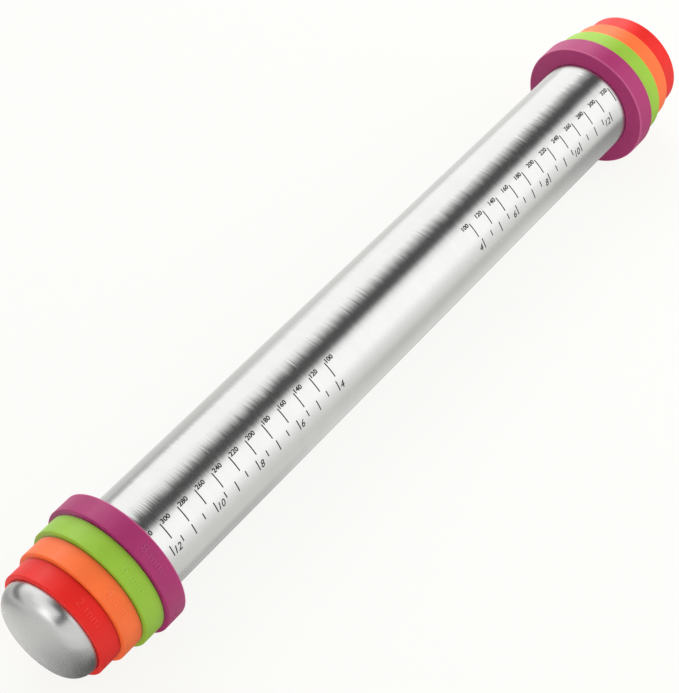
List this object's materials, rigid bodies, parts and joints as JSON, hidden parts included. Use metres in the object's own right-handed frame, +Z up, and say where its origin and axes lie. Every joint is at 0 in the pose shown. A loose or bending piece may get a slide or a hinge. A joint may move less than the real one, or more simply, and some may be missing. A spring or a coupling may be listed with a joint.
{
  "type": "rolling pin",
  "caption": "Straight hollow steel rolling pin with domed ends and pull-off graded spacer rings that set the dough's thickness.",
  "frame": {"origin": "on the worktop under the middle of the tube, centred between the two domed ends", "axes": "+X along the pin's axis towards the right end, +Z up from the worktop the two largest rings stand on, +Y away from the side where the scale is read"},
  "size_m": [0.422, 0.0612, 0.0613],
  "materials": {
    "tube_steel": "fine brushed stainless steel, the grain running round the tube",
    "cap_steel": "satin polished stainless steel",
    "silicone_purple": "satin purple silicone",
    "silicone_green": "satin green silicone",
    "silicone_orange": "satin orange silicone",
    "silicone_red": "satin red silicone"
  },
  "bodies": {
    "pin": {"barrel_tube": "tube_steel", "end_cap_left": "cap_steel", "end_cap_right": "cap_steel"},
    "ring_8mm_left": {"ring_8mm_left": "silicone_purple"},
    "ring_6mm_left": {"ring_6mm_left": "silicone_green"},
    "ring_4mm_left": {"ring_4mm_left": "silicone_orange"},
    "ring_2mm_left": {"ring_2mm_left": "silicone_red"},
    "ring_8mm_right": {"ring_8mm_right": "silicone_purple"},
    "ring_6mm_right": {"ring_6mm_right": "silicone_green"},
    "ring_4mm_right": {"ring_4mm_right": "silicone_orange"},
    "ring_2mm_right": {"ring_2mm_right": "silicone_red"}
  },
  "joints": [
    {"name": "ring_8mm_left_slide", "type": "slide", "parent": "pin", "child": "ring_8mm_left", "axis": [-1, 0, 0], "range_m": [-0.15, 0.057]},
    {"name": "ring_6mm_left_slide", "type": "slide", "parent": "ring_8mm_left", "child": "ring_6mm_left", "axis": [-1, 0, 0], "range_m": [0, 0.047]},
    {"name": "ring_4mm_left_slide", "type": "slide", "parent": "ring_6mm_left", "child": "ring_4mm_left", "axis": [-1, 0, 0], "range_m": [0, 0.037]},
    {"name": "ring_2mm_left_slide", "type": "slide", "parent": "ring_4mm_left", "child": "ring_2mm_left", "axis": [-1, 0, 0], "range_m": [0, 0.027]},
    {"name": "ring_8mm_right_slide", "type": "slide", "parent": "pin", "child": "ring_8mm_right", "axis": [1, 0, 0], "range_m": [-0.15, 0.055]},
    {"name": "ring_6mm_right_slide", "type": "slide", "parent": "ring_8mm_right", "child": "ring_6mm_right", "axis": [1, 0, 0], "range_m": [0, 0.045]},
    {"name": "ring_4mm_right_slide", "type": "slide", "parent": "ring_6mm_right", "child": "ring_4mm_right", "axis": [1, 0, 0], "range_m": [0, 0.035]},
    {"name": "ring_2mm_right_slide", "type": "slide", "parent": "ring_4mm_right", "child": "ring_2mm_right", "axis": [1, 0, 0], "range_m": [0, 0.025]}
  ]
}
